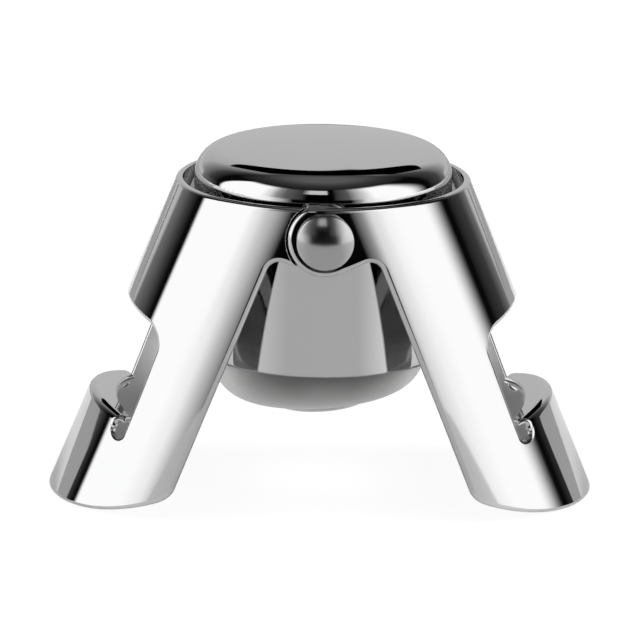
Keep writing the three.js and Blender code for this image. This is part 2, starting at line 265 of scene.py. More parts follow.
chrome = chrome_finish("polished_chrome", share=0.802, painted_shade_share=0.79, roughness=0.03)
rivet_chrome = chrome_finish("rivet_chrome", share=0.6, painted_shade_share=0.593, roughness=0.17)
inner_chrome = chrome_finish("inner_chrome", share=0.802, painted_shade_share=0.25, roughness=0.05)
print("grades of chrome:", chrome.name, rivet_chrome.name, inner_chrome.name)

# %% [markdown]
# The seal is a matte light grey silicone with a fine skin. The moulded core is nearly black and
# slightly grained. Both are one pattern in two colours, with a bump from a fine noise, so one
# function makes them.

# %% Grey silicone and black moulding
def moulded_finish(name, cloud, skin, low, high, rough, bump):
    """A cloud of two colours and roughnesses, with a fine skin as its bump, of a depth in mm."""
    material, tree = new_material(name)
    place = tree.add("ShaderNodeTexCoord", output="Object")
    drift = noise(tree, place, *cloud)
    fine = drift if skin == cloud else noise(tree, place, *skin)
    spread, base = rough
    strength, depth = bump
    uneven = tree.add("ShaderNodeBump", {}, {"Height": fine, "Strength": strength, "Distance": depth * MM})
    surfaced(tree, tinted(tree, drift, low, high), 0.0, drift * spread + base, uneven)
    return material


silicone = moulded_finish(
    "grey_silicone", cloud=(140, 4), skin=(3200, 2),
    low=(0.50, 0.50, 0.497, 1), high=(0.56, 0.56, 0.555, 1), rough=(0.12, 0.5), bump=(0.25, 0.03))
moulding = moulded_finish(
    "black_moulding", cloud=(1800, 3), skin=(1800, 3),
    low=(0.022, 0.022, 0.024, 1), high=(0.036, 0.036, 0.038, 1), rough=(0.15, 0.45), bump=(0.3, 0.05))
print("moulded finishes:", silicone.name, moulding.name)

# %% [markdown]
# ## Turned pieces
#
# The shell, the pin, its end cap and the seal are round, so each is a profile spun about an axis. A
# mirror shows every unevenness, so the profile's arcs get many points and the spin many steps. The
# profile is drawn as radius and height in millimetres.

# %% Arcs, lines and spins
ROUND_STEPS = 256
WELD = 0.002


def arc(centre, radius, start, end, steps):
    """Points of an arc, its ends included. Angles are in degrees."""
    angles = [math.radians(start + (end - start) * i / steps) for i in range(steps + 1)]
    return [(centre[0] + radius * math.cos(a), centre[1] + radius * math.sin(a)) for a in angles]


def line(start, end, steps):
    """Points of a straight line, its ends included."""
    return [(start[0] + (end[0] - start[0]) * i / steps,
             start[1] + (end[1] - start[1]) * i / steps) for i in range(steps + 1)]


def spun(profile, steps=ROUND_STEPS):
    """A closed solid from a profile that starts and ends on the axis, or closes on itself."""
    mesh = bmesh.new()
    ring = [mesh.verts.new((radius * MM, 0, height * MM)) for radius, height in profile]
    for first, second in zip(ring, ring[1:]):
        mesh.edges.new((first, second))
    bmesh.ops.spin(mesh, geom=mesh.verts[:] + mesh.edges[:], cent=(0, 0, 0), axis=(0, 0, 1),
                   angle=math.tau, steps=steps, use_merge=True)
    bmesh.ops.remove_doubles(mesh, verts=mesh.verts, dist=WELD * MM)
    bmesh.ops.recalc_face_normals(mesh, faces=mesh.faces)
    return mesh


# %% [markdown]
# Every finished mesh becomes an object in the same way. It stays at the origin, with its place in
# its mesh, rides on a body of the CAD model and stands for one of its nodes. Metal that was formed
# by a function brings its own normals, which are exact where averaged ones would only be close.

# %% Finish a piece
def finish_piece(mesh, name, material, body, node, normals=None):
    """Makes an object of a bmesh, rides it on its body and lets it stand for its CAD node."""
    for face in mesh.faces:
        face.smooth = True
    data = bpy.data.meshes.new(name)
    mesh.to_mesh(data)
    mesh.free()
    if normals:
        data.normals_split_custom_set_from_vertices(normals)
    piece = bpy.data.objects.new(name, data)
    bpy.context.scene.collection.objects.link(piece)
    data.materials.append(material)
    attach(piece, body)
    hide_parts(node)
    print(name, "has", len(data.polygons), "faces")
    return piece


# %% [markdown]
# The shell and the ears of the wings are drilled for the pin. A Boolean modifier does that exactly,
# on two scratch objects that are removed again.

# %% Drill for the pin
PIN_RADIUS = 2.1
RUNNING_GAP = 0.25
PIN_HOLE_RADIUS = PIN_RADIUS + RUNNING_GAP
DRILL_SIDES = 64


def drilled(mesh, length, places):
    """Drills a mesh with bars of the pin hole's size, each put in its place by a matrix."""
    drill = bmesh.new()
    for place in places:
        bmesh.ops.create_cone(
            drill, cap_ends=True, segments=DRILL_SIDES, radius1=PIN_HOLE_RADIUS * MM,
            radius2=PIN_HOLE_RADIUS * MM, depth=length * MM, matrix=place)
    objects = []
    for name, source in (("blank", mesh), ("drill", drill)):
        data = bpy.data.meshes.new(name)
        source.to_mesh(data)
        source.free()
        objects.append(bpy.data.objects.new(name, data))
        bpy.context.scene.collection.objects.link(objects[-1])
    cut = objects[0].modifiers.new("drill", "BOOLEAN")
    cut.operation = "DIFFERENCE"
    cut.solver = "EXACT"
    cut.object = objects[1]
    bpy.context.view_layer.update()
    done = bmesh.new()
    done.from_object(objects[0], bpy.context.evaluated_depsgraph_get())
    for scratch in objects:
        data = scratch.data
        bpy.data.objects.remove(scratch)
        bpy.data.meshes.remove(data)
    return done


# %% [markdown]
# ### The shell
#
# The shell is one deep-drawn cup: a nearly flat crown, a rounded shoulder and a straight wall down
# to a rounded lip. Both skins are drawn in the profile, so that it is a real sheet with a hollow
# inside. The wall has a row for each millimetre, which keeps the faces round the drilled hole small.
# All heights are measured from the pin.

# %% Shell
SHELL_RADIUS = 19.3
SHELL_WALL = 1.0
SHOULDER_HEIGHT = 4.84
SHOULDER_RADIUS = 4.3
CROWN_RADIUS = 120.0
LIP_HEIGHT = -21.45


def shell_skin(inset):
    """The crown, the shoulder and the wall of one skin, from the axis to just above the lip."""
    run = SHELL_RADIUS - SHOULDER_RADIUS
    crown_centre = SHOULDER_HEIGHT - math.sqrt((CROWN_RADIUS - SHOULDER_RADIUS) ** 2 - run ** 2)
    joint = math.degrees(math.atan2(SHOULDER_HEIGHT - crown_centre, run))
    crown = arc((0, crown_centre), CROWN_RADIUS - inset, 90, joint, steps=30)
    rounding = arc((run, SHOULDER_HEIGHT), SHOULDER_RADIUS - inset, joint, 0, steps=32)
    wall_radius = SHELL_RADIUS - inset
    wall = line((wall_radius, SHOULDER_HEIGHT), (wall_radius, LIP_HEIGHT + SHELL_WALL / 2), steps=26)
    return crown[:-1] + rounding[:-1] + wall


lip_centre = (SHELL_RADIUS - SHELL_WALL / 2, LIP_HEIGHT + SHELL_WALL / 2)
lip = arc(lip_centre, SHELL_WALL / 2, 0, -180, steps=12)
shell_mesh = drilled(spun(shell_skin(0) + lip[1:-1] + shell_skin(SHELL_WALL)[::-1]),
                     3 * SHELL_RADIUS, [Matrix.Rotation(math.pi / 2, 4, "X")])
bmesh.ops.translate(shell_mesh, verts=shell_mesh.verts, vec=pivot)
finish_piece(shell_mesh, "shell", chrome, "stopper_body", "body_shell")

# %% [markdown]
# ### The pin and its end cap
#
# The pin's head is a low dome whose edge is slightly rounded. The same head closes the pin at the
# back, pressed on the thinner tail. Spinning about Z and then laying the piece along Y keeps one
# way of drawing profiles for everything. The dome ends a little before its rim, where the small
# rounding takes over.

# %% Pin and end cap
HEAD_STEPS = 128
HEAD_RADIUS = 4.2
HEAD_SEAT = 22.3
HEAD_RIM = 0.5
HEAD_DOME = 1.2
HEAD_EDGE = 0.16
DOME_TRIM = 1.5
SHANK_END = 22.05
TAIL_RADIUS = 1.5
TAIL_LENGTH = 1.1
TAIL_GAP = 0.3


def domed_head():
    """From the middle of the dome to the seat at the shank, with a rounded edge."""
    sphere = (HEAD_RADIUS ** 2 + HEAD_DOME ** 2) / (2 * HEAD_DOME)
    centre = HEAD_SEAT + HEAD_RIM + HEAD_DOME - sphere
    rim = math.degrees(math.asin((HEAD_SEAT + HEAD_RIM - centre) / sphere))
    dome = arc((0, centre), sphere, 90, rim + DOME_TRIM, steps=28)
    edge_radius = HEAD_RADIUS - HEAD_EDGE
    edge = arc((edge_radius, HEAD_SEAT + HEAD_RIM - HEAD_EDGE / 2), HEAD_EDGE, 30, 0, steps=4)
    foot = arc((edge_radius, HEAD_SEAT + HEAD_EDGE), HEAD_EDGE, 0, -90, steps=6)
    return dome + edge + foot


def laid(mesh, way):
    """Lays a spun piece along the pin, with its head to the front for 1 and to the back for -1."""
    turn = Matrix.Rotation(way * math.pi / 2, 4, "X")
    bmesh.ops.transform(mesh, verts=mesh.verts, matrix=Matrix.Translation(pivot) @ turn)
    return mesh


tail_end = -SHANK_END - TAIL_LENGTH
pin_mesh = spun(domed_head() + [
    (PIN_RADIUS, HEAD_SEAT), (PIN_RADIUS, -SHANK_END), (TAIL_RADIUS, -SHANK_END),
    (TAIL_RADIUS, tail_end), (0, tail_end)], HEAD_STEPS)
finish_piece(laid(pin_mesh, 1), "pin", rivet_chrome, "stopper_body", "pivot_pin")

cap_bore = TAIL_RADIUS + RUNNING_GAP
cap_depth = SHANK_END + TAIL_LENGTH + TAIL_GAP
cap_mesh = spun(domed_head() + [
    (cap_bore, HEAD_SEAT), (cap_bore, cap_depth), (0, cap_depth)], HEAD_STEPS)
finish_piece(laid(cap_mesh, -1), "end_cap", rivet_chrome, "stopper_body",
             "pin_end_cap")

# %% [markdown]
# ### The seal
#
# The seal is a thick soft disc with a shallow boss that enters the bottle. In the photograph it
# hangs a little askew, as a snapped-in rubber part does, so the finished disc is tilted by four
# degrees about the pin's direction and shifted by half a millimetre. Each flat has its own first
# and last radius, which keep clear of the roundings.

# %% Seal
SEAL_STEPS = 160
SEAL_TOP = -21.15
SEAL_RADIUS = 16.0
SEAL_THICKNESS = 7.2
SEAL_ROUNDING = 5.4
SEAL_EDGE = 0.5
SEAL_FLAT = (10.0, 7.8)
BOSS_RADIUS = 7.2
BOSS_HEIGHT = 1.8
BOSS_FILLET = 0.5
BOSS_EDGE = 0.7
BOSS_FLAT = 6.0
SEAL_TILT = -4.0
SEAL_SHIFT = -0.5

edge_start = SEAL_RADIUS - SEAL_EDGE
round_start = SEAL_RADIUS - SEAL_ROUNDING
seal_bottom = SEAL_TOP - SEAL_THICKNESS
boss_bottom = seal_bottom - BOSS_HEIGHT
seal_profile = [(0, SEAL_TOP)] + line((1, SEAL_TOP), (edge_start, SEAL_TOP), steps=8)
seal_profile += arc((edge_start, SEAL_TOP - SEAL_EDGE), SEAL_EDGE, 80, 0, steps=6)
seal_profile += arc((round_start, seal_bottom + SEAL_ROUNDING), SEAL_ROUNDING, 0, -90, steps=32)
seal_profile += line((SEAL_FLAT[0], seal_bottom), (SEAL_FLAT[1], seal_bottom), steps=3)
seal_profile += arc((BOSS_RADIUS + BOSS_FILLET, seal_bottom - BOSS_FILLET), BOSS_FILLET, 90, 180, steps=6)
seal_profile += arc((BOSS_RADIUS - BOSS_EDGE, boss_bottom + BOSS_EDGE), BOSS_EDGE, 0, -90, steps=8)
seal_profile += line((BOSS_FLAT, boss_bottom), (0, boss_bottom), steps=6)
seal_mesh = spun(seal_profile, SEAL_STEPS)
seal_place = Matrix.Translation(pivot + Vector((SEAL_SHIFT * MM, 0, 0)))
seal_turn = Matrix.Rotation(math.radians(SEAL_TILT), 4, "Y")
seal_hang = Matrix.Translation(Vector((0, 0, SEAL_TOP * MM)))
bmesh.ops.transform(seal_mesh, verts=seal_mesh.verts,
                    matrix=seal_place @ seal_hang @ seal_turn @ seal_hang.inverted())
finish_piece(seal_mesh, "seal", silicone, "stopper_body", "sealing_disc")

# %% [markdown]
# ### The core
#
# The moulded core shows only as a dark ring between the seal and the shell's lip. Its CAD solid is
# flat there and has the right shape, so it stays and only gets the black finish.

# %% Core
core = frame["nodes"]["inner_core"]
core.data.materials.clear()
core.data.materials.append(moulding)
print("core keeps its CAD solid:", core.name)

# %% [markdown]
# ## The wings
#
# Each wing is a pressing: a blank is cut from flat sheet, its edges are broken, and a die rolls it
# to half a tube. The tongue left standing in its window is bent inwards to a hook, and one ear is
# stepped in by a sheet and a gap so that it lies under the ear of the other wing. The same order
# works in Blender and gives the evenest mirror: the flat blank is thickened and bevelled while it
# still has only two big faces, then ruled into small cells, and only then formed.
#
# The blank is drawn as the real outline seen along the pin, and unrolled. An angle goes round the
# tube from the wing's middle line, and `up` is the height in millimetres from the pin.

# %% Wing sizes
WING_RADIUS = 22.0
SHEET = 0.9
OPEN_ANGLE = math.radians(22.4)
RIM_HEIGHT = 4.85
WING_LENGTH = 55.9
FOOT_ROUNDING = 10.6
FOOT_SQUARE_SHARE = 0.64
FOOT_NARROWING = 0.45
FOOT_CORNER = 1.4
FOOT_GROUND_FROM = 46.0
FOOT_GROUND_TO = 52.0
EDGE_OFFSET_TOP = 6.25
EDGE_OFFSET_FOOT = 5.75
SHOULDER = -5.45
SHOULDER_CORNER = 2.2
OUTER_EAR_RADIUS = 5.5
INNER_EAR_RADIUS = 5.0
EAR_STEP = 1.4
STEP_START = 5.55
STEP_LENGTH = 0.3
WINDOW_TOP = -23.8
WINDOW_HALF_WIDTH = 15.1
WINDOW_CORNER = 3.0
HOOK_TOP = -38.3
HOOK_BEND = 1.2
HOOK_HALF_WIDTH = 13.2
HOOK_ARC_RADIUS = 28.2
HOOK_REACH = 17.05
HOOK_ROOT = HOOK_TOP - HOOK_BEND
TONGUE_LENGTH = 7.0
NOTCH_RADIUS = 0.95
NOTCH_BOTTOM = -41.3
TAPER_END = -40.6
TAPER_BLEND = 8.5
foot_radius = WING_RADIUS - FOOT_NARROWING
foot_angle = math.acos(EDGE_OFFSET_FOOT / foot_radius)


def rim_height(x):
    """The rim is level with the table when the wing is open."""
    return (RIM_HEIGHT - x * math.sin(OPEN_ANGLE)) / math.cos(OPEN_ANGLE)


def foot_height(angle):
    """The rounded foot, at an angle from its middle."""
    share = angle / foot_angle
    rise = FOOT_SQUARE_SHARE * share ** 2 + (1 - FOOT_SQUARE_SHARE) * share ** 4
    return -WING_LENGTH + FOOT_ROUNDING * rise


print("the foot goes round", round(2 * math.degrees(foot_angle)), "degrees of the tube")

# %% [markdown]
# `formed` is the die. It says where a point of the flat blank ends up. The wall is a tube that is
# drawn in a little below the window. The tongue keeps its width and rolls round its bend. The back
# ear steps inwards by a sheet and a gap, in a short ring round the pin. The front ear leaves the
# tube at the middle plane and goes on flat: only a flat ear mirrors the dark front of the studio as
# evenly as the photograph shows. The foot's cut edge is sheared so that it lies level on the table.

# %% How the sheet is formed
TONGUE_MARGIN = 0.03


def smooth_step(value, start, end):
    """From 0 to 1 between start and end, with soft ends."""
    share = min(max((value - start) / (end - start), 0), 1)
    return share * share * (3 - 2 * share)


def blended_ramp(value):
    """Zero far below zero, the value itself far above it, and a soft bend between."""
    if value <= -TAPER_BLEND:
        return 0
    if value >= TAPER_BLEND:
        return value
    return (value + TAPER_BLEND) ** 2 / (4 * TAPER_BLEND)


def wall_radius(up):
    """Full above the window, and drawn in below it, with soft ends to the taper."""
    slope = FOOT_NARROWING / (WINDOW_TOP - TAPER_END)
    return WING_RADIUS - slope * (blended_ramp(WINDOW_TOP - up) - blended_ramp(TAPER_END - up))


root_radius = wall_radius(HOOK_ROOT)


def ear_step(angle, up):
    """How far the sheet steps in towards the inner ear, on the positive side."""
    if angle < 0:
        return 0
    from_pin = math.hypot(WING_RADIUS * math.cos(angle), up)
    return EAR_STEP * (1 - smooth_step(from_pin, STEP_START, STEP_START + STEP_LENGTH))


def tongue_side(rise):
    """Angle of the tongue's side at a rise above its root: it keeps its width while it bends."""
    turn = min(rise / HOOK_BEND, math.pi / 2)
    radius = root_radius - HOOK_BEND + HOOK_BEND * math.cos(turn)
    return math.asin(HOOK_HALF_WIDTH / radius)


def formed(point):
    """Where a point of the flat blank goes when the sheet is rolled and its tongue is bent."""
    angle = point.x / MM / WING_RADIUS
    up = point.y / MM
    depth = -point.z / MM
    up += depth * math.tan(OPEN_ANGLE) * smooth_step(-up, FOOT_GROUND_FROM, FOOT_GROUND_TO)
    rise = up - HOOK_ROOT
    if 0 < rise < TONGUE_LENGTH and abs(angle) < tongue_side(rise) + TONGUE_MARGIN:
        turn = min(rise / HOOK_BEND, math.pi / 2)
        flat = max(rise - HOOK_BEND * math.pi / 2, 0)
        radius = root_radius - HOOK_BEND + (HOOK_BEND - depth) * math.cos(turn) - flat
        up = HOOK_ROOT + (HOOK_BEND - depth) * math.sin(turn)
    else:
        radius = wall_radius(up) - ear_step(angle, up) - depth
        beyond = -angle - math.pi / 2
        if beyond > 0:
            return Vector((-beyond * WING_RADIUS, -radius, up)) * MM
    return Vector((radius * math.cos(angle), radius * math.sin(angle), up)) * MM


print("wall radius at the root of the hook in mm:", round(root_radius, 2))

# %% [markdown]
# Half the blank is one outline: from the middle of the rim over the ear, down the long edge, round
# the foot, up the middle, and back along the tongue, the relief notch and the window. The front half
# has the larger outer ear, and the back half the inner one. An angle on the tube is found from the
# outline's x by a few turns of iteration, because the sheet is stepped in there.

# %% The blank's outline, from the rim to the foot
ANGLE_TURNS = 6
RIM_STEPS = 48
EAR_STEPS = 48
CORNER_STEPS = 8
FOOT_STEPS = 36
SHOULDER_FLAT = 0.6


def angle_at(x, up, side):
    """The angle on the tube at which the outer skin is x away from the middle plane."""
    if x < 0 and side < 0:
        return math.pi / 2 - x / WING_RADIUS
    angle = math.acos(x / WING_RADIUS)
    for _ in range(ANGLE_TURNS):
        angle = math.acos(x / (wall_radius(up) - ear_step(side * angle, up)))
    return angle


def rim_and_ear(side, ear_radius):
    """The rim from its middle to the ear, and round the ear to the shoulder."""
    meet = math.pi - math.asin(RIM_HEIGHT / ear_radius) - OPEN_ANGLE
    ear_x = ear_radius * math.cos(meet)
    last = angle_at(ear_x, rim_height(ear_x), side)
    points = []
    for i in range(RIM_STEPS):
        angle = last * i / RIM_STEPS
        x = (WING_RADIUS - ear_step(side * angle, RIM_HEIGHT)) * math.cos(angle)
        if angle > math.pi / 2 and side < 0:
            x = (math.pi / 2 - angle) * WING_RADIUS
        points.append((angle, rim_height(x)))
    stop = 270
    if ear_radius > -SHOULDER:
        stop = math.degrees(math.asin(SHOULDER / ear_radius)) + 360
    for x, up in arc((0, 0), ear_radius, math.degrees(meet), stop, EAR_STEPS):
        points.append((angle_at(x, up, side), up))
    return points


def shoulder_to_foot(side):
    """Along the shoulder, down the long edge and round the foot to its middle."""
    corner_height = foot_height(foot_angle)
    centre = EDGE_OFFSET_TOP - SHOULDER_CORNER
    drawn = line((centre - SHOULDER_FLAT, SHOULDER), (centre, SHOULDER), steps=2)[:-1]
    drawn += arc((centre, SHOULDER - SHOULDER_CORNER), SHOULDER_CORNER, 90, 0, steps=14)
    drawn += line((EDGE_OFFSET_TOP, SHOULDER - SHOULDER_CORNER),
                  (EDGE_OFFSET_FOOT, corner_height + FOOT_CORNER), steps=30)[1:]
    points = [(angle_at(x, up, side), up) for x, up in drawn]
    corner_angle = math.acos((EDGE_OFFSET_FOOT + FOOT_CORNER) / foot_radius)
    start, end = points[-1], (corner_angle, foot_height(corner_angle))
    bend = (foot_angle, corner_height)
    for i in range(1, CORNER_STEPS + 1):
        t = i / CORNER_STEPS
        points.append(tuple((1 - t) ** 2 * a + 2 * t * (1 - t) * b + t ** 2 * c
                            for a, b, c in zip(start, bend, end)))
    for i in range(1, FOOT_STEPS + 1):
        angle = corner_angle * (1 - i / FOOT_STEPS)
        points.append((angle, foot_height(angle)))
    return points


print("points from the rim to the foot:", len(rim_and_ear(1, INNER_EAR_RADIUS) + shoulder_to_foot(1)))

# %% [markdown]
# Inside the wing the outline goes round the hole that is punched for the tongue. Its tip is the arc
# that will grip the neck of the bottle, so it is worked out backwards: from the arc on the bent hook
# to a length of flat sheet. The round notch beside the root keeps the sheet from tearing in the
# press.

# %% The blank's outline, round the tongue and the window
TIP_STEPS = 28
SIDE_STEPS = 10


def tongue_and_window():
    """From the tip of the tongue down its side, round the notch and along the window to its middle."""
    centre = HOOK_REACH - HOOK_ARC_RADIUS
    bend_length = HOOK_BEND * math.pi / 2
    side_angle = tongue_side(bend_length)
    points = []
    for i in range(TIP_STEPS):
        angle = side_angle * i / TIP_STEPS
        radius = centre * math.cos(angle) + math.sqrt(
            HOOK_ARC_RADIUS ** 2 - (centre * math.sin(angle)) ** 2)
        points.append((angle, HOOK_ROOT + bend_length + root_radius - HOOK_BEND - radius))
    notch_height = NOTCH_BOTTOM + NOTCH_RADIUS
    for i in range(SIDE_STEPS + 1):
        rise = bend_length + (notch_height - HOOK_ROOT - bend_length) * i / SIDE_STEPS
        points.append((tongue_side(rise), HOOK_ROOT + rise))
    corner_y = WINDOW_HALF_WIDTH - WINDOW_CORNER
    corner_up = WINDOW_TOP - WINDOW_CORNER
    drawn = arc((HOOK_HALF_WIDTH + NOTCH_RADIUS, notch_height), NOTCH_RADIUS, 180, 360, steps=18)[1:]
    drawn += line((WINDOW_HALF_WIDTH, notch_height), (WINDOW_HALF_WIDTH, corner_up), steps=20)[1:]
    drawn += arc((corner_y, corner_up), WINDOW_CORNER, 0, 90, steps=12)[1:]
    drawn += line((corner_y, WINDOW_TOP), (0, WINDOW_TOP), steps=20)[1:]
    return points + [(math.asin(y / wall_radius(up)), up) for y, up in drawn]


print("points round the tongue and the window:", len(tongue_and_window()))

# %% [markdown]
# The two halves share their points on the middle line, so the blank is one sheet. Extruding it
# makes the thickness, and the bevel breaks every outline edge on both skins, more on the outside.

# %% Cut the blank and break its edges
OUTER_ROUND = 0.72
INNER_ROUND = 0.14
OUTER_SEGMENTS = 5
INNER_SEGMENTS = 3
OUTLINE_TURN = 0.5
ON_THE_MIDDLE = 1e-9
TOUCH = 0.01


def flat_blank():
    """The flat blank with its window, as two faces that share the middle line."""
    mesh = bmesh.new()
    shared = {}
    for side, ear_radius in ((-1, OUTER_EAR_RADIUS), (1, INNER_EAR_RADIUS)):
        outline = rim_and_ear(side, ear_radius) + shoulder_to_foot(side) + tongue_and_window()
        corners = []
        for angle, up in outline:
            key = round(up, 6) if abs(angle) < ON_THE_MIDDLE else None
            if key is None or key not in shared:
                corner = mesh.verts.new((side * angle * WING_RADIUS * MM, up * MM, 0))
                if key is not None:
                    shared[key] = corner
            else:
                corner = shared[key]
            corners.append(corner)
        face = mesh.faces.new(corners)
        face.normal_update()
        if face.normal.z < 0:
            face.normal_flip()
    return mesh


def thickened(mesh):
    """Extrudes the sheet inwards, and rounds the outline on both skins."""
    grown = bmesh.ops.extrude_face_region(mesh, geom=mesh.faces[:], use_keep_orig=True)
    moved = [item for item in grown["geom"] if isinstance(item, bmesh.types.BMVert)]
    bmesh.ops.translate(mesh, verts=moved, vec=(0, 0, -SHEET * MM))
    bmesh.ops.recalc_face_normals(mesh, faces=mesh.faces)
    skins = ((OUTER_ROUND, 0, OUTER_SEGMENTS), (INNER_ROUND, SHEET, INNER_SEGMENTS))
    for rounding, depth, segments in skins:
        mesh.normal_update()
        outline = [edge for edge in mesh.edges if len(edge.link_faces) == 2
                   and all(abs(vert.co.z + depth * MM) < TOUCH * MM for vert in edge.verts)
                   and abs(edge.link_faces[0].normal.dot(edge.link_faces[1].normal)) < OUTLINE_TURN]
        bmesh.ops.bevel(mesh, geom=outline, offset=rounding * MM, offset_type="OFFSET",
                        segments=segments, profile=0.5, affect="EDGES", material=-1)


blank = flat_blank()
thickened(blank)
quarter_turn = WING_RADIUS * math.pi / 2
front_hole = Matrix.Translation((-quarter_turn * MM, 0, 0))
back_hole = Matrix.Translation((quarter_turn * MM, 0, 0)) @ Matrix.Scale(
    WING_RADIUS / (WING_RADIUS - EAR_STEP), 4, (1, 0, 0))
blank = drilled(blank, 4 * SHEET, [front_hole, back_hole])
print("the drilled blank has", len(blank.faces), "faces")

# %% [markdown]
# Ruling is a series of `bisect_plane` cuts. One family runs up the tube and gives it its roundness,
# the other runs across and lets the taper form smoothly. The bend of the tongue gets closer rows,
# and the ear with the step gets a fine net of its own. Cutting only what the last cut gave back
# keeps that net quick.

# %% Rule the blank
ACROSS_STEP = 0.5
UP_STEP = 0.9
ROWS_ABOVE = 24
ROWS_BELOW = 70
BEND_STEP = 0.16
BEND_ROWS_BELOW = 4
BEND_ROWS_ABOVE = 24
NET_STEP = 0.13
NET_MARGIN = 0.2
NET_SEARCH = 0.8


def bisected(mesh, geometry, place, normal):
    """Cuts the blank by an upright plane, and gives back the geometry with the cut."""
    x, y = place
    across, up = normal
    return bmesh.ops.bisect_plane(mesh, geom=geometry, dist=TOUCH * MM, plane_co=(x * MM, y * MM, 0),
                                  plane_no=(across, up, 0))["geom"]


def ruled(mesh):
    """Cuts the blank into small cells by two families of planes, and the stepped ear by two more."""
    across_end = max(abs(vert.co.x) for vert in mesh.verts) / MM
    count = math.ceil(across_end / ACROSS_STEP)
    cuts = [((i * ACROSS_STEP, 0), (1, 0)) for i in range(-count, count + 1)]
    heights = [rim_height(WING_RADIUS) - UP_STEP * i for i in range(-ROWS_ABOVE, ROWS_BELOW)]
    heights += [HOOK_ROOT + BEND_STEP * i for i in range(-BEND_ROWS_BELOW, BEND_ROWS_ABOVE)]
    cuts += [((0, height), (0, 1)) for height in sorted(set(heights))]
    for place, normal in cuts:
        bisected(mesh, mesh.verts[:] + mesh.edges[:] + mesh.faces[:], place, normal)
    reach = STEP_START + STEP_LENGTH + NET_MARGIN
    search = reach + NET_SEARCH
    faces = [face for face in mesh.faces if all(
        abs(vert.co.x / MM - quarter_turn) < search and abs(vert.co.y / MM) < search
        for vert in face.verts)]
    net = faces + list({edge for face in faces for edge in face.edges})
    net += list({vert for face in faces for vert in face.verts})
    for i in range(math.ceil(2 * reach / NET_STEP) + 1):
        offset = NET_STEP * i - reach
        net = bisected(mesh, net, (quarter_turn + offset, 0), (1, 0))
        net = bisected(mesh, net, (0, offset), (0, 1))


ruled(blank)
print("the ruled blank has", len(blank.faces), "faces")

# %% [markdown]
# A mirror shows the direction of the surface, not its place, so the normals are formed along with
# the points. On the blank they are known exactly: straight up on the skins, and turning evenly over
# the rounded edges. The three small steps in `pressed` show how forming stretches and turns the
# sheet at a point, and their cross products turn the normal with it.

# %% Form one wing, and use it twice
TRY_STEP = 0.005 * MM
NEARLY_UPRIGHT = 0.999
NO_LENGTH = 1e-4
INNER_SLOT = 1


def blank_normal(vert):
    """The normal on the flat blank: upright on both skins, and level on the cut edge."""
    depth = -vert.co.z / MM
    upright = max(1 - depth / OUTER_ROUND, 0) - max(1 - (SHEET - depth) / INNER_ROUND, 0)
    level = Vector((vert.normal.x, vert.normal.y, 0))
    if abs(upright) > NEARLY_UPRIGHT or level.length < NO_LENGTH:
        return Vector((0, 0, math.copysign(1, upright)))
    return level.normalized() * math.sqrt(1 - upright ** 2) + Vector((0, 0, upright))


def pressed(point, normal):
    """A point and its normal, as the die forms them."""
    place = formed(point)
    across, up, out = (formed(point + step) - place for step in (
        Vector((TRY_STEP, 0, 0)), Vector((0, TRY_STEP, 0)), Vector((0, 0, TRY_STEP))))
    turned = normal.x * up.cross(out) + normal.y * out.cross(across) + normal.z * across.cross(up)
    return place, turned.normalized()


# The inner skin gets the inner chrome, whose painted shade darkens it above the windows.
for face in blank.faces:
    if all(vert.co.z < (TOUCH - SHEET) * MM for vert in face.verts):
        face.material_index = INNER_SLOT
blank.normal_update()
wing_points = [pressed(vert.co, blank_normal(vert)) for vert in blank.verts]
opened = Matrix.Rotation(-OPEN_ANGLE, 3, "Y")
for name, half_turn in (("right_wing", 0), ("left_wing", math.pi)):
    turn = Matrix.Rotation(half_turn, 3, "Z") @ opened
    wing_mesh = blank.copy()
    for vert, (place, _) in zip(wing_mesh.verts, wing_points):
        vert.co = turn @ place + pivot
    side = name.split("_")[0]
    wing = finish_piece(wing_mesh, "wing_" + side, chrome, name, name,
                        [turn @ normal for _, normal in wing_points])
    wing.data.materials.append(inner_chrome)
blank.free()

# %% [markdown]
# ## The studio
#
# Polished metal is lit by what it mirrors. Read back from the photograph, the studio is a tent: two
# large softboxes at the sides, a dark front where the camera stands, a pale paper behind, a dim
# ceiling and a white table. The room outside is plain white to the camera and to mirrors, so the
# background stays white, and nearly dark to all else, so that the lamps do the lighting.

# %% Room
ROOM_LIGHT = 0.03
WHITE_LIGHT = (1, 1, 1, 1)


def ray_kind(tree, *kinds):
    """One where any of these outputs of the Light Path is one."""
    found = [tree.add("ShaderNodeLightPath", output=kind) for kind in kinds]
    total = found[0]
    for other in found[1:]:
        total = tree.combine("MAXIMUM", total, other)
    return total


world = bpy.data.worlds.new("room")
world.use_nodes = True
bpy.context.scene.world = world
tree = Tree(world.node_tree)
seen = tree.add("ShaderNodeMixShader", {}, {
    0: ray_kind(tree, "Is Camera Ray", "Is Glossy Ray", "Is Transmission Ray"),
    1: tree.add("ShaderNodeBackground", {}, {"Color": WHITE_LIGHT, "Strength": ROOM_LIGHT}),
    2: tree.add("ShaderNodeBackground", {}, {"Color": WHITE_LIGHT, "Strength": 1.0}),
})
tree.add("ShaderNodeOutputWorld", {}, {"Surface": seen})
print("room:", world.name)

# %% [markdown]
# `mirrored` gives the strength that the chrome shows as a grey of the picture, `by_angle` lets it
# follow an angle, and `compass` reads azimuth and elevation from a direction.

# %% Strengths and directions
CHROME_SHARE = 0.79
FULL_TURN = 360
HALF_TURN = 180


def mirrored(level):
    """The strength of a light that the chrome shows as this grey, from 0 to 255 on the sRGB curve."""
    share = level / 255
    linear = share / 12.92 if share <= 0.04045 else ((share + 0.055) / 1.055) ** 2.4
    return linear / CHROME_SHARE


